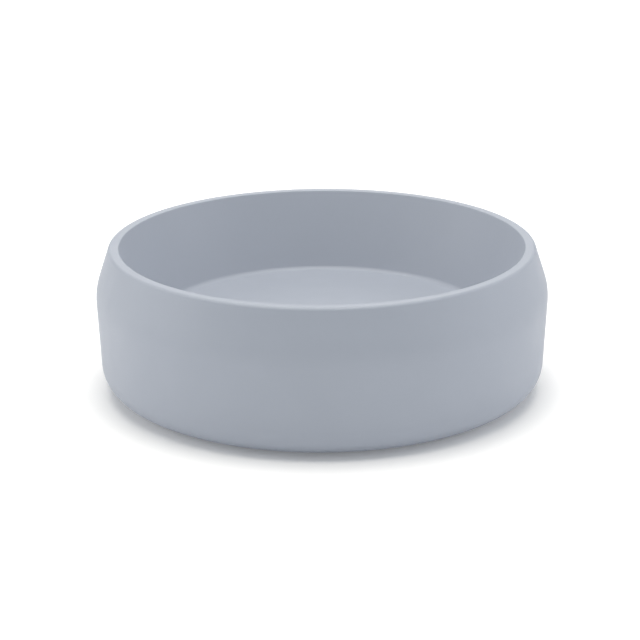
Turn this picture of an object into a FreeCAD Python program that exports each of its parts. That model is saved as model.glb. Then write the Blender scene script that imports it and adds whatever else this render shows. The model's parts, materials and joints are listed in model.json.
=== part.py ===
import FreeCAD, Part
import os
import Sketcher
from types import SimpleNamespace

# A round, double-walled pet bathtub: one moulded tub whose outer skirt hangs from a level rim, a
# cover that closes its underside with a shroud round the drain, six rubber feet with their screws,
# and a 1 1/2 inch waste with a hose end, whose press-to-open stopper and hair basket lift out of
# the drain as one unit.
#
# Row frame: millimetres, +Z up, origin on the ground at the tub's centre. Every turned section is
# drawn with radius across and height up, and is revolved about Z. The tub and its cover measure
# their heights from the underside of the skirt, the feet from the ground, and the waste with
# everything that hangs in it from the top face of the floor at the drain.

DIMENSIONS = {
    # tub
    "tub_height": 192.0,
    "belly_radius": 299.4,
    "belly_height": 135.4,
    "base_radius": 292.7,
    "rim_outer_radius": 280.7,
    "rim_inner_radius": 267.7,
    "floor_radius": 221.0,
    "floor_height": 88.0,
    "floor_fall": 2.5,
    "wall": 4.0,
    "rim_crown": 6.0,
    "belly_round": 80.0,
    "base_round": 38.0,
    "rim_outer_round": 5.0,
    "rim_inner_round": 2.0,
    "floor_round": 9.0,
    "opening_radius": 250.0,
    # ribs and screw posts under the floor
    "rib_count": 12.0,
    "rib_thickness": 3.0,
    "rib_inner_radius": 100.0,
    "rib_outer_radius": 216.0,
    "rib_depth": 22.0,
    "foot_count": 6.0,
    "foot_circle": 200.0,
    "post_radius": 9.0,
    "pilot_radius": 2.1,
    # drain seat in the floor
    "drain_hole_radius": 25.0,
    "seat_radius": 36.0,
    "seat_depth": 3.0,
    "drain_boss_radius": 44.0,
    "drain_boss_depth": 10.0,
    # base cover and the shroud round the drain's service well
    "cover_gap": 0.5,
    "cover_wall": 3.0,
    "cover_rib_height": 12.0,
    "well_foot_radius": 92.0,
    "well_head_radius": 62.0,
    "well_height": 81.4,
    "shroud_flange_radius": 104.0,
    "shroud_flange_thickness": 2.5,
    "locating_gap": 0.3,
    "locating_ring_height": 7.0,
    "cup_radius": 22.0,
    "cup_height": 10.0,
    "pocket_radius": 16.2,
    "pocket_depth": 6.0,
    # rubber feet, washers and screws
    "foot_proud": 3.0,
    "foot_radius": 15.8,
    "foot_edge_round": 1.2,
    "foot_recess_radius": 6.5,
    "foot_recess_depth": 5.0,
    "screw_hole_radius": 2.6,
    "washer_radius": 6.0,
    "washer_thickness": 1.0,
    "shank_radius": 2.0,
    "shank_length": 36.0,
    "head_radius": 4.2,
    "head_height": 2.6,
    "socket_radius": 2.0,
    "socket_depth": 1.5,
    # waste body and its fixings
    "flange_radius": 35.0,
    "flange_land_radius": 31.0,
    "flange_top": 1.0,
    "flange_edge": 0.9,
    "flange_seal_thickness": 1.5,
    "throat_radius": 22.4,
    "ledge_depth": 4.0,
    "tail_radius": 23.9,
    "tail_bore_radius": 20.5,
    "tail_depth": 30.5,
    "spigot_radius": 20.0,
    "spigot_bore_radius": 17.5,
    "spigot_length": 24.0,
    "spigot_collar_height": 4.0,
    "spigot_sleeve_length": 3.0,
    "fit_clearance": 0.05,
    "thread_clearance": 0.1,
    "under_seal_radius": 38.0,
    "under_seal_thickness": 3.0,
    "slip_washer_thickness": 1.5,
    "nut_radius": 31.0,
    "nut_height": 10.0,
    "nut_lug_length": 4.5,
    "nut_lug_width": 8.0,
    "nut_lug_count": 4.0,
    # lift-out unit
    "basket_radius": 19.8,
    "basket_wall": 1.5,
    "basket_depth": 26.0,
    "basket_flange_radius": 22.1,
    "basket_flange_thickness": 1.8,
    "basket_seal_inner_radius": 20.7,
    "basket_seal_thickness": 1.0,
    "hub_radius": 9.6,
    "hub_top_depth": 10.0,
    "slot_count": 12.0,
    "slot_width": 3.0,
    "slot_inset": 3.0,
    "sleeve_radius": 7.0,
    "sleeve_bore_radius": 5.7,
    "sleeve_shoulder_radius": 9.0,
    "sleeve_shoulder_height": 1.5,
    "sleeve_collar_height": 3.0,
    "sleeve_top_depth": 7.0,
    "sleeve_bottom_depth": 42.0,
    "end_plug_height": 3.0,
    "stem_radius": 2.8,
    "stem_top": 0.5,
    "stem_bottom_depth": 36.0,
    "piston_radius": 5.4,
    "piston_top_depth": 18.5,
    "piston_height": 4.0,
    "latch_gap": 0.3,
    "latch_height": 4.2,
    "notch_count": 4.0,
    "notch_width": 1.2,
    "spring_mean_radius": 4.35,
    "spring_wire_radius": 0.45,
    "spring_turns": 6.0,
    "cap_radius": 30.0,
    "cap_seat": 1.3,
    "cap_edge": 1.2,
    "cap_crown_radius": 23.0,
    "cap_crown_rise": 1.5,
    "cap_top_rise": 0.7,
    "cap_crown_round": 30.0,
    "cap_boss_radius": 6.0,
    "cap_boss_depth": 6.0,
    "cap_seal_inner_radius": 23.5,
    "cap_seal_outer_radius": 28.0,
    "cap_seal_thickness": 0.95,
}

OVERCUT = 5.0  # mm by which a cutting section runs past the face that it opens
FULL_TURN = 360.0
PLACE_TOLERANCE = 0.05  # mm within which an edge counts as lying at a stated place

doc = FreeCAD.newDocument("pet_bathtub")


class Size:
    """A length with both its present number and the sheet expression that drives it."""

    def __init__(self, number, text):
        self.number = number
        self.text = text

    def joined(self, other, sign, number):
        return Size(number, f"({self.text} {sign} {as_size(other).text})")

    def __add__(self, other):
        return self.joined(other, "+", self.number + as_size(other).number)

    def __sub__(self, other):
        return self.joined(other, "-", self.number - as_size(other).number)

    def __mul__(self, other):
        return self.joined(other, "*", self.number * as_size(other).number)

    def __truediv__(self, other):
        return self.joined(other, "/", self.number / as_size(other).number)

    def __neg__(self):
        return Size(-self.number, f"(0 - {self.text})")


def as_size(given):
    return given if isinstance(given, Size) else Size(float(given), str(given))


def make_sheet():
    """The spreadsheet that holds every driving dimension, and the same sizes to work with."""
    sheet = doc.addObject("Spreadsheet::Sheet", "sizes")
    sizes = {}
    for row, (alias, number) in enumerate(DIMENSIONS.items(), start=1):
        sheet.set(f"A{row}", alias)
        sheet.set(f"B{row}", str(number))
        sheet.setAlias(f"B{row}", alias)
        sizes[alias] = Size(number, f"sizes.{alias}")
    doc.recompute()
    return SimpleNamespace(**sizes)


S = make_sheet()
ZERO = as_size(0)


# ---------------------------------------------------------------- modelling helpers

def new_body(label, height=ZERO, compound=False):
    """An empty body whose own zero stands at that height in the row frame."""
    body = doc.addObject("PartDesign::Body", label)
    body.Label = label
    body.AllowCompound = compound
    body.setExpression("Placement.Base.z", height.text)
    return body


def origin_feature(body, role):
    for feature in body.Origin.OriginFeatures:
        if feature.Role == role:
            return feature
    raise ValueError(f"{body.Label} has no {role}")


def add_sketch(body, name, role="XZ_Plane", lift=ZERO):
    """A sketch on one of the body's own origin planes, lifted along that plane's normal."""
    sketch = body.newObject("Sketcher::SketchObject", name)
    sketch.AttachmentSupport = (origin_feature(body, role), [""])
    sketch.MapMode = "FlatFace"
    sketch.setExpression("AttachmentOffset.Base.z", lift.text)
    return sketch


def drive(sketch, kind, geometry, point, size):
    """Holds one coordinate of a point at a size, or on the sketch axis where the size is zero."""
    if size is ZERO:
        axis = -2 if kind == "DistanceX" else -1
        sketch.addConstraint(Sketcher.Constraint("PointOnObject", geometry, point, axis))
        return
    held = sketch.addConstraint(Sketcher.Constraint(kind, geometry, point, size.number))
    sketch.setExpression(f"Constraints[{held}]", size.text)


def draw_polygon(sketch, corners):
    """A closed polygon whose every corner coordinate is driven from the sheet."""
    places = [FreeCAD.Vector(x.number, y.number, 0) for x, y in corners]
    first = sketch.GeometryCount
    count = len(corners)
    for i, place in enumerate(places):
        sketch.addGeometry(Part.LineSegment(place, places[(i + 1) % count]))
    for i, (x, y) in enumerate(corners):
        following = first + (i + 1) % count
        sketch.addConstraint(Sketcher.Constraint("Coincident", first + i, 2, following, 1))
        drive(sketch, "DistanceX", first + i, 1, x)
        drive(sketch, "DistanceY", first + i, 1, y)


def draw_circle(sketch, radius, x=ZERO, y=ZERO):
    """A circle whose centre and radius are driven from the sheet."""
    centre = FreeCAD.Vector(x.number, y.number, 0)
    circle = sketch.addGeometry(Part.Circle(centre, FreeCAD.Vector(0, 0, 1), radius.number))
    held = sketch.addConstraint(Sketcher.Constraint("Radius", circle, radius.number))
    sketch.setExpression(f"Constraints[{held}]", radius.text)
    drive(sketch, "DistanceX", circle, 3, x)
    drive(sketch, "DistanceY", circle, 3, y)


def rectangle(left, right, bottom, top):
    return [(left, bottom), (right, bottom), (right, top), (left, top)]


def turned(body, name, corners, cut=False):
    """A section revolved all the way round Z, added to the body or cut from it."""
    sketch = add_sketch(body, f"{body.Label}_{name}_section")
    draw_polygon(sketch, corners)
    feature = body.newObject("PartDesign::Groove" if cut else "PartDesign::Revolution", name)
    feature.Profile = sketch
    feature.ReferenceAxis = (sketch, ["V_Axis"])
    feature.Angle = FULL_TURN
    body.Tip = feature
    return feature


def extruded(body, name, sketch, length, cut=False, reverse=False, centred=False):
    """A pad or pocket of a sketch, its length driven from the sheet."""
    feature = body.newObject("PartDesign::Pocket" if cut else "PartDesign::Pad", name)
    feature.Profile = sketch
    feature.setExpression("Length", length.text)
    feature.Reversed = reverse
    feature.Midplane = centred
    body.Tip = feature
    return feature


def drilled(body, name, radius, x, bottom, length):
    """A round pocket cut upwards from the given height, its axis at radius x from the middle."""
    sketch = add_sketch(body, f"{body.Label}_{name}_circle", "XY_Plane", bottom)
    draw_circle(sketch, radius, x)
    return extruded(body, name, sketch, length, cut=True, reverse=True)


def repeated(body, name, features, count):
    """The features repeated evenly round Z."""
    pattern = body.newObject("PartDesign::PolarPattern", name)
    pattern.Originals = features
    pattern.Axis = (origin_feature(body, "Z_Axis"), [""])
    pattern.Angle = FULL_TURN
    pattern.setExpression("Occurrences", count.text)
    body.Tip = pattern
    return pattern


def rounded(body, name, radius, places):
    """Rounds the circular edges about Z that lie at the given (radius, height) places."""
    doc.recompute()
    found = []
    for r, z in places:
        matches = [
            f"Edge{i}"
            for i, edge in enumerate(body.Tip.Shape.Edges, start=1)
            if isinstance(edge.Curve, Part.Circle)
            and abs(edge.Curve.Radius - r.number) < PLACE_TOLERANCE
            and abs(edge.Curve.Center.z - z.number) < PLACE_TOLERANCE
        ]
        if not matches:
            raise ValueError(f"{body.Label}.{name}: no edge at {r.number}, {z.number}")
        found += matches
    base = body.Tip
    feature = body.newObject("PartDesign::Fillet", name)
    feature.Base = (base, found)
    feature.setExpression("Radius", radius.text)
    body.Tip = feature
    return feature


# ---------------------------------------------------------------- tub, cover and shroud

drain_top = S.floor_height - S.floor_fall
drain_level = S.foot_proud + drain_top


def make_tub_shell():
    body = new_body("tub_shell", S.foot_proud)
    turned(body, "outside", [
        (S.drain_hole_radius, ZERO),
        (S.base_radius, ZERO),
        (S.belly_radius, S.belly_height),
        (S.rim_outer_radius, S.tub_height),
        (S.rim_inner_radius, S.tub_height),
        (S.floor_radius, S.floor_height),
        (S.seat_radius, drain_top),
        (S.seat_radius, drain_top - S.seat_depth),
        (S.drain_hole_radius, drain_top - S.seat_depth),
    ])
    hollow_out(body)
    rounded(body, "belly_rounding", S.belly_round, [(S.belly_radius, S.belly_height)])
    rounded(body, "base_rounding", S.base_round, [(S.base_radius, ZERO)])
    rounded(body, "rim_outer_rounding", S.rim_outer_round, [(S.rim_outer_radius, S.tub_height)])
    rounded(body, "rim_inner_rounding", S.rim_inner_round, [(S.rim_inner_radius, S.tub_height)])
    rounded(body, "floor_rounding", S.floor_round, [(S.floor_radius, S.floor_height)])
    add_floor_ribs(body)
    add_screw_posts(body)


def hollow_out(body):
    """The space between skirt, rim, basin and floor, open downwards."""
    shoulder_slope = (S.belly_radius - S.rim_outer_radius) / (S.tub_height - S.belly_height)
    basin_slope = (S.rim_inner_radius - S.floor_radius) / (S.tub_height - S.floor_height)
    crown_level = S.tub_height - S.rim_crown
    crown_outer = S.rim_outer_radius + shoulder_slope * S.rim_crown - S.wall
    crown_inner = S.rim_inner_radius - basin_slope * S.rim_crown + S.wall
    underside = S.floor_height - S.wall
    boss_level = drain_top - S.drain_boss_depth
    below = as_size(-OVERCUT)
    turned(body, "hollow", [
        (ZERO, below),
        (S.opening_radius, below),
        (S.opening_radius, S.wall),
        (S.base_radius - S.wall, S.wall),
        (S.belly_radius - S.wall, S.belly_height),
        (crown_outer, crown_level),
        (crown_inner, crown_level),
        (S.floor_radius + S.wall / 2, underside),
        (S.drain_boss_radius, drain_top - S.wall),
        (S.drain_boss_radius, boss_level),
        (ZERO, boss_level),
    ], cut=True)
    rounded(body, "hollow_base_rounding", S.base_round - S.wall, [
        (S.base_radius - S.wall, S.wall),
    ])
    rounded(body, "hollow_belly_rounding", S.belly_round - S.wall, [
        (S.belly_radius - S.wall, S.belly_height),
    ])


def add_floor_ribs(body):
    """Radial ribs that stiffen the floor from below."""
    sketch = add_sketch(body, "floor_rib_side")
    rib_bottom = S.floor_height - S.wall - S.rib_depth
    draw_polygon(sketch, [
        (S.rib_inner_radius, rib_bottom),
        (S.rib_outer_radius, rib_bottom),
        (S.rib_outer_radius, S.floor_height - S.wall / 2),
        (S.rib_inner_radius, drain_top - S.wall / 2),
    ])
    rib = extruded(body, "floor_rib", sketch, S.rib_thickness, centred=True)
    repeated(body, "floor_ribs", [rib], S.rib_count)


def add_screw_posts(body):
    """Cored posts that reach down from the floor to the cover's cups."""
    sketch = add_sketch(body, "post_circles", "XY_Plane", S.cup_height)
    draw_circle(sketch, S.post_radius, S.foot_circle)
    length = S.floor_height - S.wall / 2 - S.cup_height
    post = extruded(body, "screw_post", sketch, length)
    repeated(body, "screw_posts", [post], S.foot_count)
    core_length = S.shank_length
    pilot = drilled(body, "pilot_hole", S.pilot_radius, S.foot_circle, S.cup_height, core_length)
    repeated(body, "pilot_holes", [pilot], S.foot_count)


def make_base_cover():
    body = new_body("base_cover", S.foot_proud)
    edge_radius = S.opening_radius - S.cover_gap
    lip_radius = edge_radius - S.cover_wall
    ring_inner = S.shroud_flange_radius + S.locating_gap
    ring_outer = ring_inner + S.cover_wall
    turned(body, "plate", [
        (S.well_foot_radius, ZERO),
        (edge_radius, ZERO),
        (edge_radius, S.cover_rib_height),
        (lip_radius, S.cover_rib_height),
        (lip_radius, S.cover_wall),
        (ring_outer, S.cover_wall),
        (ring_outer, S.locating_ring_height),
        (ring_inner, S.locating_ring_height),
        (ring_inner, S.cover_wall),
        (S.well_foot_radius, S.cover_wall),
    ])
    add_cover_ribs(body, ring_outer - S.cover_wall / 2, lip_radius + S.cover_wall / 2)
    cup_sketch = add_sketch(body, "cup_circle", "XY_Plane")
    draw_circle(cup_sketch, S.cup_radius, S.foot_circle)
    cup = extruded(body, "cup", cup_sketch, S.cup_height)
    repeated(body, "cups", [cup], S.foot_count)
    pocket = drilled(body, "foot_pocket", S.pocket_radius, S.foot_circle, ZERO, S.pocket_depth)
    repeated(body, "foot_pockets", [pocket], S.foot_count)
    hole = drilled(body, "screw_hole", S.screw_hole_radius, S.foot_circle, ZERO, S.cup_height)
    repeated(body, "screw_holes", [hole], S.foot_count)


def add_cover_ribs(body, inner, outer):
    """Radial ribs on the cover, midway between the cups, from the locating ring to the edge lip."""
    sketch = add_sketch(body, "cover_rib_side", "YZ_Plane")
    bottom = S.cover_wall / 2
    draw_polygon(sketch, [
        (inner, bottom),
        (outer, bottom),
        (outer, S.cover_rib_height - bottom),
        (inner, S.locating_ring_height - bottom),
    ])
    rib = extruded(body, "cover_rib", sketch, S.rib_thickness, centred=True)
    repeated(body, "cover_ribs", [rib], S.foot_count)


def make_drain_shroud():
    """The cone round the drain, its foot on the cover and its head just under the floor."""
    body = new_body("drain_shroud", S.foot_proud)
    flange_top = S.cover_wall + S.shroud_flange_thickness
    turned(body, "cone", [
        (S.well_foot_radius, S.cover_wall),
        (S.shroud_flange_radius, S.cover_wall),
        (S.shroud_flange_radius, flange_top),
        (S.well_foot_radius + S.cover_wall, flange_top),
        (S.well_head_radius + S.cover_wall, S.well_height),
        (S.well_head_radius, S.well_height),
    ])


# ---------------------------------------------------------------- feet and their fasteners

foot_height = S.pocket_depth + S.foot_proud
washer_top = S.foot_recess_depth
head_top = washer_top - S.washer_thickness


def make_foot(index):
    """One rubber foot, recessed from below for its washer and screw."""
    body = new_body(f"foot_{index + 1}")
    angle = f"{index} * 360 deg / sizes.foot_count"
    body.setExpression("Placement.Base.x", f"sizes.foot_circle * cos({angle})")
    body.setExpression("Placement.Base.y", f"sizes.foot_circle * sin({angle})")
    turned(body, "pad", [
        (S.foot_recess_radius, ZERO),
        (S.foot_radius, ZERO),
        (S.foot_radius, foot_height),
        (S.screw_hole_radius, foot_height),
        (S.screw_hole_radius, S.foot_recess_depth),
        (S.foot_recess_radius, S.foot_recess_depth),
    ])
    rounded(body, "pad_rounding", S.foot_edge_round, [(S.foot_radius, ZERO)])


def make_foot_washers():
    body = new_body("foot_washers", compound=True)
    sketch = add_sketch(body, "washer_circles", "XY_Plane", head_top)
    draw_circle(sketch, S.washer_radius, S.foot_circle)
    draw_circle(sketch, S.pilot_radius, S.foot_circle)
    washer = extruded(body, "washer", sketch, S.washer_thickness)
    repeated(body, "washers", [washer], S.foot_count)


def make_foot_screws():
    body = new_body("foot_screws", compound=True)
    head_sketch = add_sketch(body, "head_circle", "XY_Plane", head_top - S.head_height)
    draw_circle(head_sketch, S.head_radius, S.foot_circle)
    head = extruded(body, "head", head_sketch, S.head_height)
    shank_sketch = add_sketch(body, "shank_circle", "XY_Plane", head_top - S.head_height / 2)
    draw_circle(shank_sketch, S.shank_radius, S.foot_circle)
    shank = extruded(body, "shank", shank_sketch, S.shank_length + S.head_height / 2)
    socket = drilled(body, "socket", S.socket_radius, S.foot_circle,
                     head_top - S.head_height, S.socket_depth)
    repeated(body, "screws", [head, shank, socket], S.foot_count)


# ---------------------------------------------------------------- waste fixed in the floor

flange_bottom = S.flange_seal_thickness - S.seat_depth
boss_bottom = -S.drain_boss_depth
under_seal_bottom = boss_bottom - S.under_seal_thickness
slip_washer_bottom = under_seal_bottom - S.slip_washer_thickness
nut_bottom = slip_washer_bottom - S.nut_height
tail_bottom = -S.tail_depth


def make_waste_body():
    body = new_body("waste_body", drain_level)
    turned(body, "casting", [
        (S.throat_radius, S.flange_top),
        (S.flange_land_radius, S.flange_top),
        (S.flange_radius, flange_bottom + S.flange_edge),
        (S.flange_radius, flange_bottom),
        (S.tail_radius, flange_bottom),
        (S.tail_radius, tail_bottom),
        (S.tail_bore_radius, tail_bottom),
        (S.tail_bore_radius, -S.ledge_depth),
        (S.throat_radius, -S.ledge_depth),
    ])


def make_hose_spigot():
    """The hose end, its sleeve in the tail's bore and its collar against the tail's end."""
    body = new_body("hose_spigot", drain_level)
    sleeve_radius = S.tail_bore_radius - S.fit_clearance
    sleeve_top = tail_bottom + S.spigot_sleeve_length
    collar_bottom = tail_bottom - S.spigot_collar_height
    spigot_bottom = collar_bottom - S.spigot_length
    turned(body, "tube", [
        (S.spigot_bore_radius, spigot_bottom),
        (S.spigot_radius, spigot_bottom),
        (S.spigot_radius, collar_bottom),
        (S.tail_radius, collar_bottom),
        (S.tail_radius, tail_bottom),
        (sleeve_radius, tail_bottom),
        (sleeve_radius, sleeve_top),
        (S.spigot_bore_radius, sleeve_top),
    ])


def make_ring(label, inner, outer, bottom, top, height=drain_level):
    """A plain ring such as a seal or washer."""
    turned(new_body(label, height), "ring", rectangle(inner, outer, bottom, top))


def make_waste_rings():
    tail_hole = S.tail_radius + S.thread_clearance
    make_ring("flange_seal", tail_hole, S.flange_radius - S.flange_edge, -S.seat_depth, flange_bottom)
    make_ring("under_seal", tail_hole, S.under_seal_radius, under_seal_bottom, boss_bottom)
    make_ring("slip_washer", tail_hole, S.under_seal_radius, slip_washer_bottom, under_seal_bottom)


def make_lock_nut():
    """A ring nut with lugs to grip it by hand."""
    body = new_body("lock_nut", drain_level)
    bore = S.tail_radius + S.thread_clearance
    turned(body, "ring", rectangle(bore, S.nut_radius, nut_bottom, slip_washer_bottom))
    sketch = add_sketch(body, "lug_outline", "XY_Plane", nut_bottom)
    half_width = S.nut_lug_width / 2
    lug_inner = (bore + S.nut_radius) / 2
    draw_polygon(sketch, rectangle(lug_inner, S.nut_radius + S.nut_lug_length,
                                   -half_width, half_width))
    lug = extruded(body, "lug", sketch, S.nut_height)
    repeated(body, "lugs", [lug], S.nut_lug_count)


# ---------------------------------------------------------------- lift-out basket and stopper

basket_flange_bottom = S.basket_seal_thickness - S.ledge_depth
basket_bottom = -S.basket_depth
sleeve_bottom = -S.sleeve_bottom_depth
end_plug_top = sleeve_bottom + S.end_plug_height
piston_top = -S.piston_top_depth
piston_bottom = piston_top - S.piston_height
latch_top = piston_bottom - S.latch_gap
latch_bottom = latch_top - S.latch_height
cap_under = S.cap_seat + S.cap_seal_thickness


def make_hair_basket():
    body = new_body("hair_basket", drain_level)
    inside = S.basket_radius - S.basket_wall
    basket_floor = basket_bottom + S.basket_wall
    hub_bore = S.sleeve_radius + S.fit_clearance
    turned(body, "cup", [
        (hub_bore, basket_bottom),
        (S.basket_radius, basket_bottom),
        (S.basket_radius, basket_flange_bottom),
        (S.basket_flange_radius, basket_flange_bottom),
        (S.basket_flange_radius, basket_flange_bottom + S.basket_flange_thickness),
        (inside, basket_flange_bottom + S.basket_flange_thickness),
        (inside, basket_floor),
        (S.hub_radius, basket_floor),
        (S.hub_radius, -S.hub_top_depth),
        (hub_bore, -S.hub_top_depth),
    ])
    half_slot = S.slot_width / 2
    side_sketch = add_sketch(body, "side_slot", "XZ_Plane", inside - S.basket_wall)
    draw_polygon(side_sketch, rectangle(-half_slot, half_slot, basket_floor + S.slot_inset,
                                        basket_flange_bottom - S.slot_inset))
    side = extruded(body, "side_cut", side_sketch, S.basket_wall * 3, cut=True, reverse=True)
    repeated(body, "side_slots", [side], S.slot_count)
    floor_sketch = add_sketch(body, "floor_slot", "XY_Plane", basket_bottom)
    draw_polygon(floor_sketch, rectangle(S.hub_radius + S.basket_wall, inside - S.basket_wall,
                                         -half_slot / 2, half_slot / 2))
    bottom = extruded(body, "floor_cut", floor_sketch, S.basket_wall, cut=True, reverse=True)
    repeated(body, "floor_slots", [bottom], S.slot_count)


def make_cartridge_sleeve():
    """The tube in the basket's hub that guides the plunger through its upper collar."""
    body = new_body("cartridge_sleeve", drain_level)
    stem_bore = S.stem_radius + S.fit_clearance
    collar_top = -S.sleeve_top_depth
    shoulder_bottom = -S.hub_top_depth
    turned(body, "tube", [
        (S.sleeve_bore_radius, sleeve_bottom),
        (S.sleeve_radius, sleeve_bottom),
        (S.sleeve_radius, shoulder_bottom),
        (S.sleeve_shoulder_radius, shoulder_bottom),
        (S.sleeve_shoulder_radius, shoulder_bottom + S.sleeve_shoulder_height),
        (S.sleeve_radius, shoulder_bottom + S.sleeve_shoulder_height),
        (S.sleeve_radius, collar_top),
        (stem_bore, collar_top),
        (stem_bore, collar_top - S.sleeve_collar_height),
        (S.sleeve_bore_radius, collar_top - S.sleeve_collar_height),
    ])


def make_plunger():
    body = new_body("plunger", drain_level)
    turned(body, "stem", [
        (ZERO, -S.stem_bottom_depth),
        (S.stem_radius, -S.stem_bottom_depth),
        (S.stem_radius, piston_bottom),
        (S.piston_radius, piston_bottom),
        (S.piston_radius, piston_top),
        (S.stem_radius, piston_top),
        (S.stem_radius, S.stem_top),
        (ZERO, S.stem_top),
    ])


def make_latch_ring():
    """The notched ring under the piston that turns a step at every press."""
    body = new_body("latch_ring", drain_level)
    bore = S.stem_radius + S.thread_clearance
    turned(body, "ring", rectangle(bore, S.piston_radius, latch_bottom, latch_top))
    half_notch = S.notch_width / 2
    sketch = add_sketch(body, "notch_outline", "XY_Plane", latch_top - S.notch_width)
    draw_polygon(sketch, rectangle((bore + S.piston_radius) / 2, S.piston_radius + S.notch_width,
                                   -half_notch, half_notch))
    notch = extruded(body, "notch", sketch, S.notch_width * 2, cut=True, reverse=True)
    repeated(body, "notches", [notch], S.notch_count)


def make_plug_spring():
    """The coil that lifts the plunger, drawn as it stands when the drain is shut."""
    body = new_body("plug_spring", drain_level)
    start = end_plug_top + S.spring_wire_radius
    height = latch_bottom - S.spring_wire_radius - start
    sketch = add_sketch(body, "wire_circle")
    draw_circle(sketch, S.spring_wire_radius, S.spring_mean_radius, start)
    coil = body.newObject("PartDesign::AdditiveHelix", "coil")
    coil.Profile = sketch
    coil.ReferenceAxis = (sketch, ["V_Axis"])
    coil.Mode = "height-turns-angle"
    coil.setExpression("Height", height.text)
    coil.setExpression("Turns", S.spring_turns.text)
    body.Tip = coil


def make_plug_cap():
    """A shallow domed cap with a boss that screws onto the plunger's stem."""
    body = new_body("plug_cap", drain_level)
    socket_radius = S.stem_radius + S.fit_clearance
    boss_end = cap_under - S.cap_boss_depth
    crown = cap_under + S.cap_edge + S.cap_crown_rise
    turned(body, "dome", [
        (socket_radius, boss_end),
        (S.cap_boss_radius, boss_end),
        (S.cap_boss_radius, cap_under),
        (S.cap_radius, cap_under),
        (S.cap_radius, cap_under + S.cap_edge),
        (S.cap_crown_radius, crown),
        (ZERO, crown + S.cap_top_rise),
        (ZERO, S.stem_top),
        (socket_radius, S.stem_top),
    ])
    rounded(body, "crown_rounding", S.cap_crown_round, [(S.cap_crown_radius, crown)])


def make_lift_out_rings():
    make_ring("basket_seal", S.basket_seal_inner_radius, S.basket_flange_radius,
              -S.ledge_depth, basket_flange_bottom)
    make_ring("cartridge_end", ZERO, S.sleeve_bore_radius, sleeve_bottom, end_plug_top)
    make_ring("cap_seal", S.cap_seal_inner_radius, S.cap_seal_outer_radius, S.cap_seat, cap_under)


# ---------------------------------------------------------------- build, check and write out

def build():
    make_tub_shell()
    make_base_cover()
    make_drain_shroud()
    for index in range(int(DIMENSIONS["foot_count"])):
        make_foot(index)
    make_foot_washers()
    make_foot_screws()
    make_waste_body()
    make_hose_spigot()
    make_waste_rings()
    make_lock_nut()
    make_hair_basket()
    make_cartridge_sleeve()
    make_plunger()
    make_latch_ring()
    make_plug_spring()
    make_plug_cap()
    make_lift_out_rings()
    doc.recompute()


def check():
    """Stops the build if any object is in error or any cutting feature removed nothing."""
    for item in doc.Objects:
        if {"Invalid", "Error"} & set(item.State):
            raise RuntimeError(f"{item.Label}: {item.State}")
        if item.TypeId in ("PartDesign::Groove", "PartDesign::Pocket"):
            before = item.BaseFeature.Shape.Volume
            if item.Shape.Volume >= before:
                raise RuntimeError(f"{item.Label} cuts nothing")


def write_parts():
    os.makedirs("parts", exist_ok=True)
    for body in doc.findObjects("PartDesign::Body"):
        shape = body.Shape
        if shape.isNull() or not shape.isValid() or not shape.Solids:
            raise RuntimeError(f"{body.Label} has no valid solid")
        shape.exportStep(f"parts/{body.Label}.step")
        print(f"{body.Label}: {len(shape.Solids)} solid(s), {shape.Volume / 1000:.1f} cm3")


build()
check()
write_parts()
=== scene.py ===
import json
import math

import bmesh
import bpy
from mathutils import Matrix, Vector


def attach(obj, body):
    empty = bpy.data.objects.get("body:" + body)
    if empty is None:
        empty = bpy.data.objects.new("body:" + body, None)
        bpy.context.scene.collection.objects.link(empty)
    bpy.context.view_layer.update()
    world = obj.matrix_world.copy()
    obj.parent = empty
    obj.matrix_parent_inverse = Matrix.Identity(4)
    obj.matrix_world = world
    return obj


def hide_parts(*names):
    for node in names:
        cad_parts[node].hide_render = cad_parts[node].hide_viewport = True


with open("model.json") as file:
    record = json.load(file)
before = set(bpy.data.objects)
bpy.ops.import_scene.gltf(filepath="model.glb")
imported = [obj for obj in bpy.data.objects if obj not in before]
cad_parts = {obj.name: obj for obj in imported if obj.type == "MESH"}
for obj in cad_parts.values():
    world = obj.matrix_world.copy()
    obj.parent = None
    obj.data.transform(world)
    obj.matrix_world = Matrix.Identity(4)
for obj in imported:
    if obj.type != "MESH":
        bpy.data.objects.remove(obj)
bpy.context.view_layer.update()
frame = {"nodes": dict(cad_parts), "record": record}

NODES = frame["nodes"]
RECORD = frame["record"]

# ---------------------------------------------------------------- camera, light and floor

CAMERA_DISTANCE = 2.775  # metres
CAMERA_TARGET_HEIGHT = 0.093  # metres
CAMERA_ELEVATION = 0.31839  # radians, of the camera's place seen from the target
CAMERA_PITCH = -0.32042  # radians, of the way it looks
CAMERA_YAW = -0.00113
CAMERA_ROLL = -0.00524
SENSOR_WIDTH = 36.0
LENS = 116.9

WORLD_COLOUR = (0.902, 0.965, 1.0)
WORLD_STRENGTH = 0.365
LIGHT_TARGET = (0, 0, 0.1)
# name, place in metres, width and height in metres, watts, colour
LIGHTS = [
    ("top_light", (0, 0, 2.6), (2.4, 2.4), 66.9, (1.0, 0.964, 0.908)),
    ("left_light", (-2.4, 0, 0.9), (2.6, 1.6), 17.2, (1.0, 0.958, 0.916)),
    ("right_light", (2.4, 0, 0.9), (2.6, 1.6), 13.4, (1.0, 0.981, 0.998)),
    ("back_light", (0, 3.4, 1.9), (4.0, 2.0), 31.4, (1.0, 0.97, 0.955)),
]
FLOOR_SIZE = 14.0
FLOOR_GAP = 0.0001  # metres under the feet, so that the two faces don't share a plane
FLOOR_ALBEDO = 0.9
FLOOR_ROUGHNESS = 0.9
# Painted light: the floor glows, least where the tub stands (painted shade round its foot), more
# round it, most beyond the lights.
GLOW_EDGE = (0.3, 0.38)  # metres from the middle
GLOW_NEAR = 0.123
GLOW_FAR = 0.273
SWEEP_EDGE = (1.6, 2.2)  # metres from the middle
SWEEP_GLOW = 0.55


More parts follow.
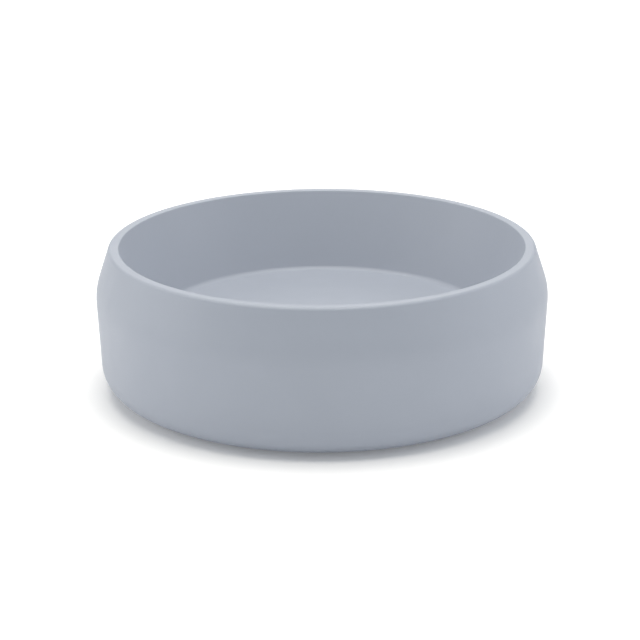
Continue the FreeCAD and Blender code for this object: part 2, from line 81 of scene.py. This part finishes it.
def make_camera():
    data = bpy.data.cameras.new("camera")
    data.sensor_width = SENSOR_WIDTH
    data.lens = LENS
    camera = bpy.data.objects.new("camera", data)
    bpy.context.scene.collection.objects.link(camera)
    forward = Vector((
        math.sin(CAMERA_YAW) * math.cos(CAMERA_PITCH),
        math.cos(CAMERA_YAW) * math.cos(CAMERA_PITCH),
        math.sin(CAMERA_PITCH),
    ))
    right = forward.cross(Vector((0, 0, 1))).normalized()
    up = right.cross(forward)
    cos_roll = math.cos(CAMERA_ROLL)
    sin_roll = math.sin(CAMERA_ROLL)
    rolled_right = right * cos_roll + up * sin_roll
    rolled_up = up * cos_roll - right * sin_roll
    turn = Matrix((rolled_right, rolled_up, -forward)).transposed()
    place = Vector((
        0,
        -CAMERA_DISTANCE * math.cos(CAMERA_ELEVATION),
        CAMERA_TARGET_HEIGHT + CAMERA_DISTANCE * math.sin(CAMERA_ELEVATION),
    ))
    camera.matrix_world = Matrix.Translation(place) @ turn.to_4x4()
    bpy.context.scene.camera = camera


def make_area_light(name, place, size, power, colour):
    data = bpy.data.lights.new(name, "AREA")
    data.shape = "RECTANGLE"
    data.size, data.size_y = size
    data.energy = power
    data.color = colour
    light = bpy.data.objects.new(name, data)
    bpy.context.scene.collection.objects.link(light)
    light.location = place
    aim = Vector(LIGHT_TARGET) - Vector(place)
    light.rotation_euler = aim.to_track_quat("-Z", "Y").to_euler()


def make_world():
    world = bpy.data.worlds.new("studio")
    world.use_nodes = True
    background = world.node_tree.nodes["Background"]
    background.inputs["Color"].default_value = WORLD_COLOUR + (1.0,)
    background.inputs["Strength"].default_value = WORLD_STRENGTH
    bpy.context.scene.world = world


def make_floor():
    half = FLOOR_SIZE / 2
    mesh = bpy.data.meshes.new("floor")
    low = -FLOOR_GAP
    corners = [(-half, -half, low), (half, -half, low), (half, half, low), (-half, half, low)]
    mesh.from_pydata(corners, [], [(0, 1, 2, 3)])
    floor = bpy.data.objects.new("floor", mesh)
    bpy.context.scene.collection.objects.link(floor)
    paint = Shader("floor_paint")
    distance = paint.node("ShaderNodeVectorMath", {"operation": "LENGTH"},
                          Vector=paint.place()).outputs["Value"]
    # Painted light from the floor's own glow, dimmed to painted shade where the tub stands.
    glow = paint.maths("ADD", paint.ramp(distance, *GLOW_EDGE, GLOW_NEAR, GLOW_FAR),
                       paint.ramp(distance, *SWEEP_EDGE, 0.0, SWEEP_GLOW))
    paint.wire(paint.surface.inputs["Emission Strength"], glow)
    colour = (FLOOR_ALBEDO,) * 3 + (1.0,)
    white = (1.0, 1.0, 1.0, 1.0)
    floor.data.materials.append(paint.finish(colour, FLOOR_ROUGHNESS, Emission_Color=white))


# ---------------------------------------------------------------- turned and moulded pieces

MM = 0.001
ARC_STEP = math.radians(4)
HOLD = 0.3  # mm from the end of a straight at which an extra row keeps its shading flat
TUB_SEGMENTS = 288
POST_SEGMENTS = 48
WASTE_SEGMENTS = 180

# Sizes in mm, as in the CAD but with more small roundings at edges. The tub's heights start at
# its own underside.
FOOT_PROUD = 3.0
WALL = 4.0
OPENING_RADIUS = 250.0
BASE_RADIUS = 292.7
BASE_ROUND = 38.0
BELLY_RADIUS = 299.4
BELLY_HEIGHT = 135.4
BELLY_ROUND = 80.0
TUB_HEIGHT = 192.0
RIM_OUTER_RADIUS = 280.7
RIM_INNER_RADIUS = 267.7
RIM_CROWN = 6.0  # depth of solid plastic under the rim's top
FLOOR_RADIUS = 221.0
FLOOR_HEIGHT = 88.0
FLOOR_FALL = 2.5  # down to the drain
SEAT_RADIUS = 36.0
SEAT_DEPTH = 3.0
DRAIN_RADIUS = 25.0
BOSS_RADIUS = 44.0
BOSS_DEPTH = 10.0  # below the basin's lowest point
BASIN_LOW = FLOOR_HEIGHT - FLOOR_FALL  # the basin's lowest point, at the drain
DRAIN_LEVEL = FOOT_PROUD + BASIN_LOW  # the same point above the ground

# Every outline is a closed list of corners: radius, height and rounding in mm.
TUB_OUTLINE = [
    (OPENING_RADIUS, 0.0, 0.8),  # skirt's underside, at the cover
    (BASE_RADIUS, 0.0, BASE_ROUND),
    (BELLY_RADIUS, BELLY_HEIGHT, BELLY_ROUND),
    (RIM_OUTER_RADIUS, TUB_HEIGHT, 5.0),
    (RIM_INNER_RADIUS, TUB_HEIGHT, 2.0),
    (FLOOR_RADIUS, FLOOR_HEIGHT, 9.0),
    (SEAT_RADIUS, BASIN_LOW, 0.6),
    (SEAT_RADIUS, BASIN_LOW - SEAT_DEPTH, 0.0),
    (DRAIN_RADIUS, BASIN_LOW - SEAT_DEPTH, 0.0),
    (DRAIN_RADIUS, BASIN_LOW - BOSS_DEPTH, 0.5),
    (BOSS_RADIUS, BASIN_LOW - BOSS_DEPTH, 1.0),
    (BOSS_RADIUS, BASIN_LOW - WALL, 1.0),
    (FLOOR_RADIUS + WALL / 2, FLOOR_HEIGHT - WALL, 3.0),  # inside of the double wall, from here on
    (269.0, TUB_HEIGHT - RIM_CROWN, 3.0),
    (278.7, TUB_HEIGHT - RIM_CROWN, 3.0),
    (BELLY_RADIUS - WALL, BELLY_HEIGHT, BELLY_ROUND - WALL),
    (BASE_RADIUS - WALL, WALL, BASE_ROUND - WALL),
    (OPENING_RADIUS, WALL, 0.0),
]

FOOT_CIRCLE = 200.0
FOOT_COUNT = 6
POST_RADIUS = 9.0
POST_BORE = 2.1
POST_BOTTOM = 10.0
POST_TOP = 84.5  # within the floor's plastic
POST_BORE_TOP = 46.0
POST_OUTLINE = [
    (POST_BORE, POST_BOTTOM, 0.0),
    (POST_RADIUS, POST_BOTTOM, 0.6),
    (POST_RADIUS, POST_TOP, 0.0),
    (0.0, POST_TOP, 0.0),
    (0.0, POST_BORE_TOP, 0.0),
    (POST_BORE, POST_BORE_TOP, 0.0),
]
RIB_COUNT = 12
RIB_THICKNESS = 3.0
RIB_SIDE = [(100.0, 62.0), (216.0, 62.0), (216.0, 85.0), (100.0, 83.5)]  # radius and height in mm

# The heights of the waste and of the stopper's cap start at the drain's level.
THREAD_PITCH = 2.3
THREAD_DEPTH = 0.7
THREAD_CREST = 23.9
THREAD_TOP = -3.0
THREAD_BOTTOM = -30.5
THREAD_TURNS = 11
TAIL_THREAD = [
    (THREAD_CREST - THREAD_DEPTH * (half % 2), THREAD_TOP - THREAD_PITCH * half / 2, 0.0)
    for half in range(2 * THREAD_TURNS + 1)
]
FLANGE_RADIUS = 35.0
FLANGE_BOTTOM = -1.5
MOUTH_RADIUS = 22.4
MOUTH_BOTTOM = -4.0
TAIL_BORE = 20.5
WASTE_OUTLINE = [
    (MOUTH_RADIUS, 1.0, 0.7),
    (31.0, 1.0, 2.0),  # where the flange starts to slope
    (FLANGE_RADIUS, -0.6, 0.3),
    (FLANGE_RADIUS, FLANGE_BOTTOM, 0.2),
    (THREAD_CREST, FLANGE_BOTTOM, 0.0),
] + TAIL_THREAD + [
    (THREAD_CREST - THREAD_DEPTH, THREAD_BOTTOM, 0.0),
    (TAIL_BORE, THREAD_BOTTOM, 0.0),
    (TAIL_BORE, MOUTH_BOTTOM, 0.0),
    (MOUTH_RADIUS, MOUTH_BOTTOM, 0.0),
]
CAP_RADIUS = 30.0
CAP_UNDERSIDE = 2.25
CAP_BOSS = 6.0
CAP_BOSS_BOTTOM = -3.75
STEM_HOLE = 2.85
STEM_HOLE_TOP = 0.5
CAP_OUTLINE = [
    (STEM_HOLE, CAP_BOSS_BOTTOM, 0.0),
    (CAP_BOSS, CAP_BOSS_BOTTOM, 0.5),
    (CAP_BOSS, CAP_UNDERSIDE, 0.5),
    (CAP_RADIUS, CAP_UNDERSIDE, 0.25),
    (CAP_RADIUS, 3.45, 0.6),
    (23.0, 4.95, 30.0),  # crown
    (0.0, 5.65, 0.0),
    (0.0, STEM_HOLE_TOP, 0.0),
    (STEM_HOLE, STEM_HOLE_TOP, 0.0),
]


def rounded_corner(before, corner, after, radius):
    """The points of the arc that rounds off one corner of an outline."""
    corner = Vector(corner)
    back = (Vector(before) - corner).normalized()
    ahead = (Vector(after) - corner).normalized()
    opening = back.angle(ahead)
    start = corner + back * (radius / math.tan(opening / 2))
    centre = corner + (back + ahead).normalized() * (radius / math.sin(opening / 2))
    spoke = start - centre
    turn = math.pi - opening
    if back.x * ahead.y - back.y * ahead.x > 0:
        turn = -turn
    steps = max(2, math.ceil(abs(turn) / ARC_STEP))
    points = []
    for step in range(steps + 1):
        angle = turn * step / steps
        points.append((
            centre.x + spoke.x * math.cos(angle) - spoke.y * math.sin(angle),
            centre.y + spoke.x * math.sin(angle) + spoke.y * math.cos(angle),
        ))
    return points


def outline_rows(corners):
    """The outline as (radius, height, sharp) rows, with rows that hold each straight flat."""
    groups = []
    for i, (r, z, radius) in enumerate(corners):
        before = corners[i - 1][:2]
        after = corners[(i + 1) % len(corners)][:2]
        if radius:
            points = rounded_corner(before, (r, z), after, radius)
            groups.append([(x, y, False) for x, y in points])
        else:
            groups.append([(r, z, True)])
    rows = []
    for i, group in enumerate(groups):
        following = groups[(i + 1) % len(groups)][0]
        rows += group
        start, end = Vector(group[-1][:2]), Vector(following[:2])
        along = end - start
        if along.length > 4 * HOLD:
            step = along.normalized() * HOLD
            rows.append((start.x + step.x, start.y + step.y, False))
            rows.append((end.x - step.x, end.y - step.y, False))
    return rows


def add_ring(mesh, centre, r, segments):
    """The vertices of one circle, or where r is 0 the same vertex as many times."""
    x, y, z = centre
    if r == 0:
        return [mesh.verts.new(centre)] * segments
    ring = []
    for k in range(segments):
        angle = 2 * math.pi * k / segments
        ring.append(mesh.verts.new((x + r * math.cos(angle), y + r * math.sin(angle), z)))
    return ring


def turn_into(mesh, corners, segments, lift, x=0.0, y=0.0):
    """Adds a solid turned from an outline to a mesh in the making."""
    rows = outline_rows(corners)
    rings = [add_ring(mesh, (x, y, z + lift), r, segments) for r, z, sharp in rows]
    for i, ring in enumerate(rings):
        following = rings[(i + 1) % len(rings)]
        for k in range(segments):
            after = (k + 1) % segments
            around = [ring[k], ring[after], following[after], following[k]]
            corners_left = list(dict.fromkeys(around))
            if len(corners_left) > 2:
                mesh.faces.new(corners_left)
    for (r, z, sharp), ring in zip(rows, rings):
        if sharp and r > 0:
            for k in range(segments):
                mesh.edges.get((ring[k], ring[(k + 1) % segments])).smooth = False


def add_rib(mesh, angle):
    """Adds one radial rib, drawn from its side, to a mesh in the making."""
    out = Vector((math.cos(angle), math.sin(angle), 0))
    across = Vector((-out.y, out.x, 0)) * (RIB_THICKNESS / 2)
    sides = []
    for sign in (-1, 1):
        sides.append([
            mesh.verts.new(out * r + across * sign + Vector((0, 0, z + FOOT_PROUD)))
            for r, z in RIB_SIDE
        ])
    near, far = sides
    mesh.faces.new(near)
    mesh.faces.new(list(reversed(far)))
    for i in range(len(RIB_SIDE)):
        after = (i + 1) % len(RIB_SIDE)
        mesh.faces.new([near[after], near[i], far[i], far[after]])


def place_piece(name, made, body, slot, nodes=(), smooth=True):
    """Makes a piece of a finished mesh, and returns it with its slot."""
    bmesh.ops.recalc_face_normals(made, faces=made.faces)
    bmesh.ops.scale(made, vec=(MM, MM, MM), verts=made.verts)
    for face in made.faces:
        face.smooth = smooth
    data = bpy.data.meshes.new(name)
    made.to_mesh(data)
    made.free()
    piece = bpy.data.objects.new(name, data)
    bpy.context.scene.collection.objects.link(piece)
    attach(piece, body)
    if nodes:
        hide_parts(*nodes)
    return piece, slot


def make_turned_pieces():
    """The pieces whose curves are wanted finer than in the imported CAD, each with its slot."""
    tub = bmesh.new()
    turn_into(tub, TUB_OUTLINE, TUB_SEGMENTS, FOOT_PROUD)
    ribs = bmesh.new()
    for k in range(RIB_COUNT):
        add_rib(ribs, 2 * math.pi * k / RIB_COUNT)
    posts = bmesh.new()
    for k in range(FOOT_COUNT):
        angle = 2 * math.pi * k / FOOT_COUNT
        turn_into(posts, POST_OUTLINE, POST_SEGMENTS, FOOT_PROUD,
                  FOOT_CIRCLE * math.cos(angle), FOOT_CIRCLE * math.sin(angle))
    waste = bmesh.new()
    turn_into(waste, WASTE_OUTLINE, WASTE_SEGMENTS, DRAIN_LEVEL)
    cap = bmesh.new()
    turn_into(cap, CAP_OUTLINE, WASTE_SEGMENTS, DRAIN_LEVEL)
    return [
        place_piece("tub_moulding", tub, "tub", "tub", ["tub_shell"]),
        place_piece("tub_floor_ribs", ribs, "tub", "tub", smooth=False),
        place_piece("tub_screw_posts", posts, "tub", "tub"),
        place_piece("waste_casting", waste, "tub", "chrome", ["waste_body"]),
        place_piece("stopper_cap", cap, "plug", "chrome", ["plug_cap"]),
    ]


# ---------------------------------------------------------------- shader building blocks

WAVE_FACTOR = math.pi / 10  # a wave texture of scale 1 repeats every pi / 10 of its units
LINE_HALF_WIDTH = 0.006  # of a scratch, as a step of the noise that it follows


class Shader:
    """One procedural material, built node by node. Its lengths are metres."""

    def __init__(self, name):
        self.material = bpy.data.materials.new(name)
        self.material.use_nodes = True
        self.tree = self.material.node_tree
        self.surface = self.tree.nodes["Principled BSDF"]

    def node(self, kind, settings=None, **inputs):
        made = self.tree.nodes.new(kind)
        for key, value in (settings or {}).items():
            setattr(made, key, value)
        for key, value in inputs.items():
            self.wire(made.inputs[key.replace("_", " ")], value)
        return made

    def wire(self, socket, value):
        if isinstance(value, bpy.types.NodeSocket):
            self.tree.links.new(value, socket)
        else:
            socket.default_value = value

    def place(self, stretch=(1, 1, 1)):
        """The piece's own coordinates in metres, stretched per axis."""
        texture = self.node("ShaderNodeTexCoord")
        mapping = self.node("ShaderNodeMapping", Vector=texture.outputs["Object"])
        mapping.inputs["Scale"].default_value = stretch
        return mapping.outputs["Vector"]

    def height(self):
        """The point's height above the ground at rest, in metres."""
        return self.node("ShaderNodeSeparateXYZ", Vector=self.place()).outputs["Z"]

    def noise(self, scale, detail=3.0, roughness=0.5, stretch=(1, 1, 1)):
        made = self.node("ShaderNodeTexNoise", Vector=self.place(stretch), Scale=scale,
                         Detail=detail, Roughness=roughness)
        return made.outputs["Fac"]

    def pits(self, scale):
        """1 between the cells of a fine pebble pattern, falling to 0 at their middles."""
        made = self.node("ShaderNodeTexVoronoi", Vector=self.place(), Scale=scale)
        return self.ramp(made.outputs["Distance"], 0.1, 0.55)

    def rings(self, spacing, distortion=0.0):
        """Fine circles about Z that lie this many metres apart."""
        made = self.node("ShaderNodeTexWave", {"wave_type": "RINGS", "rings_direction": "Z"},
                         Vector=self.place(), Scale=WAVE_FACTOR / spacing, Distortion=distortion)
        return made.outputs["Fac"]

    def bands(self, spacing):
        """Fine grooves across Z that lie this many metres apart."""
        made = self.node("ShaderNodeTexWave", {"wave_type": "BANDS", "bands_direction": "Z"},
                         Vector=self.place(), Scale=WAVE_FACTOR / spacing)
        return made.outputs["Fac"]

    def ramp(self, value, low, high, to_low=0.0, to_high=1.0):
        made = self.node("ShaderNodeMapRange", Value=value, From_Min=low, From_Max=high,
                         To_Min=to_low, To_Max=to_high)
        return made.outputs["Result"]

    def maths(self, operation, first, second=0.0):
        made = self.node("ShaderNodeMath", {"operation": operation})
        self.wire(made.inputs[0], first)
        self.wire(made.inputs[1], second)
        return made.outputs["Value"]

    def hairlines(self, scale, stretch, share):
        """Sparse fine scratches: 1 on a line and 0 beside it. A larger share gives more of them."""
        along = self.noise(scale, 1.0, 0.4, stretch)
        off_line = self.maths("ABSOLUTE", self.maths("SUBTRACT", along, 0.5))
        line = self.ramp(off_line, 0.0, LINE_HALF_WIDTH, 1.0, 0.0)
        here = self.ramp(self.noise(scale / 6, 2.0), 0.62 - share, 0.72 - share)
        return self.maths("MULTIPLY", line, here)

    def mix(self, share, first, second):
        made = self.node("ShaderNodeMix", {"data_type": "RGBA"})
        self.wire(made.inputs["Factor"], share)
        self.wire(made.inputs["A"], first)
        self.wire(made.inputs["B"], second)
        return made.outputs["Result"]

    def bump(self, height, distance, strength=1.0, below=None):
        made = self.node("ShaderNodeBump", Height=height, Distance=distance, Strength=strength)
        if below is not None:
            self.wire(made.inputs["Normal"], below)
        return made.outputs["Normal"]

    def finish(self, colour, roughness, normal=None, **constants):
        self.wire(self.surface.inputs["Base Color"], colour)
        self.wire(self.surface.inputs["Roughness"], roughness)
        if normal is not None:
            self.wire(self.surface.inputs["Normal"], normal)
        for key, value in constants.items():
            self.surface.inputs[key.replace("_", " ")].default_value = value
        return self.material


def scaled(colour, factor):
    """A colour made lighter or darker, with full alpha."""
    return tuple(min(1.0, channel * factor) for channel in colour) + (1.0,)


# ---------------------------------------------------------------- finishes

def moulded_plastic(name, colour, roughness, mottle, grain, scuffs):
    """Matt moulding: faint clouding, fine pebble grain, uneven sheen and a few rub marks."""
    shader = Shader(name)
    cloud = shader.ramp(shader.noise(9.0, 4.0, 0.55), 0.3, 0.7)
    tone = shader.mix(cloud, scaled(colour, 1 - mottle), scaled(colour, 1 + mottle))
    fleck = shader.ramp(shader.noise(260.0, 3.0), 0.56, 0.7, 0.0, 0.5)
    tone = shader.mix(fleck, tone, scaled(colour, 1 - 1.5 * mottle))
    rubbed = shader.hairlines(45.0, (1, 1, 3), scuffs)
    low_edge = shader.ramp(shader.height(), 0.003, 0.012, 0.6, 0.0)
    worn = shader.maths("MULTIPLY", low_edge, shader.ramp(shader.noise(70.0, 4.0), 0.5, 0.65))
    marks = shader.maths("MAXIMUM", shader.maths("MULTIPLY", rubbed, 0.3), worn)
    tone = shader.mix(marks, tone, scaled(colour, 1.12))
    sheen = shader.ramp(shader.noise(22.0, 3.0), 0.3, 0.7, roughness - 0.04, roughness + 0.04)
    rough = shader.maths("ADD", sheen, shader.maths("MULTIPLY", rubbed, 0.08))
    normal = shader.bump(shader.noise(5.0, 2.0), 0.0004, 0.5)
    normal = shader.bump(shader.pits(1400.0), grain, 1.0, normal)
    return shader.finish(tone, rough, normal, IOR=1.46)


def rubber(name, colour, roughness, dust):
    """Moulded rubber: open pores with painted shade in them, a chalky bloom and a soft, uneven
    sheen.
    """
    shader = Shader(name)
    bloom = shader.ramp(shader.noise(120.0, 5.0, 0.6), 0.42, 0.68, 0.0, dust)
    tone = shader.mix(bloom, scaled(colour, 1.0), scaled(colour, 2.2))
    pores = shader.ramp(shader.noise(1500.0, 2.0), 0.34, 0.46)
    # Darker down in the pores: painted shade.
    tone = shader.mix(pores, scaled(colour, 0.6), tone)
    rough = shader.ramp(shader.noise(200.0, 3.0), 0.3, 0.7, roughness - 0.06, roughness + 0.06)
    normal = shader.bump(pores, 0.00006)
    normal = shader.bump(shader.noise(90.0, 3.0), 0.0003, 0.5, normal)
    return shader.finish(tone, rough, normal, IOR=1.52)


def bright_steel(name, colour, roughness):
    """Zinc-bright steel: mottled plating, grey handling marks and fine scratches."""
    shader = Shader(name)
    plating = shader.ramp(shader.noise(350.0, 4.0, 0.6), 0.35, 0.65)
    tone = shader.mix(plating, scaled(colour, 0.8), scaled(colour, 1.08))
    dull = shader.ramp(shader.noise(110.0, 4.0), 0.52, 0.66)
    tone = shader.mix(shader.maths("MULTIPLY", dull, 0.5), tone, scaled(colour, 0.55))
    scratched = shader.hairlines(500.0, (1, 4, 1), 0.2)
    rough = shader.ramp(dull, 0.0, 1.0, roughness, roughness + 0.18)
    rough = shader.maths("ADD", rough, shader.maths("MULTIPLY", scratched, 0.1))
    normal = shader.bump(shader.noise(900.0, 3.0), 0.00002)
    return shader.finish(tone, rough, normal, Metallic=1.0)


def polished_chrome(name, colour, roughness):
    """Chrome plate over a turned blank: faint circles, water marks and finger smears."""
    shader = Shader(name)
    smear = shader.ramp(shader.noise(60.0, 5.0, 0.6, (1, 1.8, 1)), 0.45, 0.7)
    marks = shader.node("ShaderNodeTexVoronoi", Vector=shader.place(), Scale=150.0)
    rise = shader.ramp(marks.outputs["Distance"], 0.3, 0.36)
    fall = shader.ramp(marks.outputs["Distance"], 0.36, 0.44, 1.0, 0.0)
    drop_edge = shader.maths("MULTIPLY", rise, fall)
    film = shader.maths("MAXIMUM", smear, shader.maths("MULTIPLY", drop_edge, 0.5))
    tone = shader.mix(film, scaled(colour, 1.0), scaled(colour, 0.88))
    rough = shader.ramp(film, 0.0, 1.0, roughness, roughness + 0.14)
    normal = shader.bump(shader.rings(0.0006, 0.4), 0.000004)
    normal = shader.bump(shader.noise(35.0, 2.0), 0.00006, 0.6, normal)
    return shader.finish(tone, rough, normal, Metallic=1.0)


def turned_brass(name, colour, roughness):
    """Turned brass: tool grooves round the stem, warm tarnish and brighter rubbed spots."""
    shader = Shader(name)
    tarnish = shader.ramp(shader.noise(180.0, 5.0, 0.6), 0.4, 0.68)
    red, green, blue = colour
    tone = shader.mix(tarnish, scaled(colour, 1.0), scaled((red, green * 0.82, blue * 0.6), 0.7))
    grooves = shader.bands(0.0004)
    tone = shader.mix(shader.maths("MULTIPLY", grooves, 0.15), tone, scaled(colour, 0.6))
    rough = shader.ramp(tarnish, 0.0, 1.0, roughness, roughness + 0.2)
    normal = shader.bump(grooves, 0.000015)
    return shader.finish(tone, rough, normal, Metallic=1.0)


DISPLAY_GAMMA = 2.2
TUB_ALBEDO = (0.355, 0.386, 0.449)
# slot, finish, roughness, then the finish's own values: mottle, grain depth in metres and share
# of scuffs for plastic, dust for rubber
FINISHES = [
    ("tub", moulded_plastic, 0.5, 0.012, 0.00002, 0.05),
    ("cover", moulded_plastic, 0.55, 0.03, 0.00003, 0.12),
    ("nut_plastic", moulded_plastic, 0.42, 0.08, 0.00003, 0.1),
    ("white_plastic", moulded_plastic, 0.38, 0.02, 0.00001, 0.05),
    ("grey_plastic", moulded_plastic, 0.42, 0.04, 0.00002, 0.08),
    ("rubber_grey", rubber, 0.75, 0.35),
    ("rubber_black", rubber, 0.6, 0.2),
    ("steel", bright_steel, 0.3),
    ("chrome", polished_chrome, 0.07),
    ("brass", turned_brass, 0.22),
]


def slot_colours():
    """The record's base colours as linear values. The tub has a linear colour of its own."""
    colours = {entry["slot"]: tuple(c ** DISPLAY_GAMMA for c in entry["base_color"][:3])
               for entry in RECORD["materials"]}
    colours["tub"] = TUB_ALBEDO
    return colours


def make_materials():
    colours = slot_colours()
    return {slot: finish(slot, colours[slot], *values) for slot, finish, *values in FINISHES}


def paint_all(pieces):
    """Gives every CAD node and every new piece the finish of its slot in the record."""
    materials = make_materials()
    painted = [(NODES[entry["node"]], entry["material_slot"]) for entry in RECORD["subparts"]]
    for item, slot in painted + pieces:
        item.data.materials.clear()
        item.data.materials.append(materials[slot])


def main():
    make_world()
    make_floor()
    make_camera()
    for light in LIGHTS:
        make_area_light(*light)
    paint_all(make_turned_pieces())
    bpy.context.scene.view_settings.view_transform = "Standard"


main()
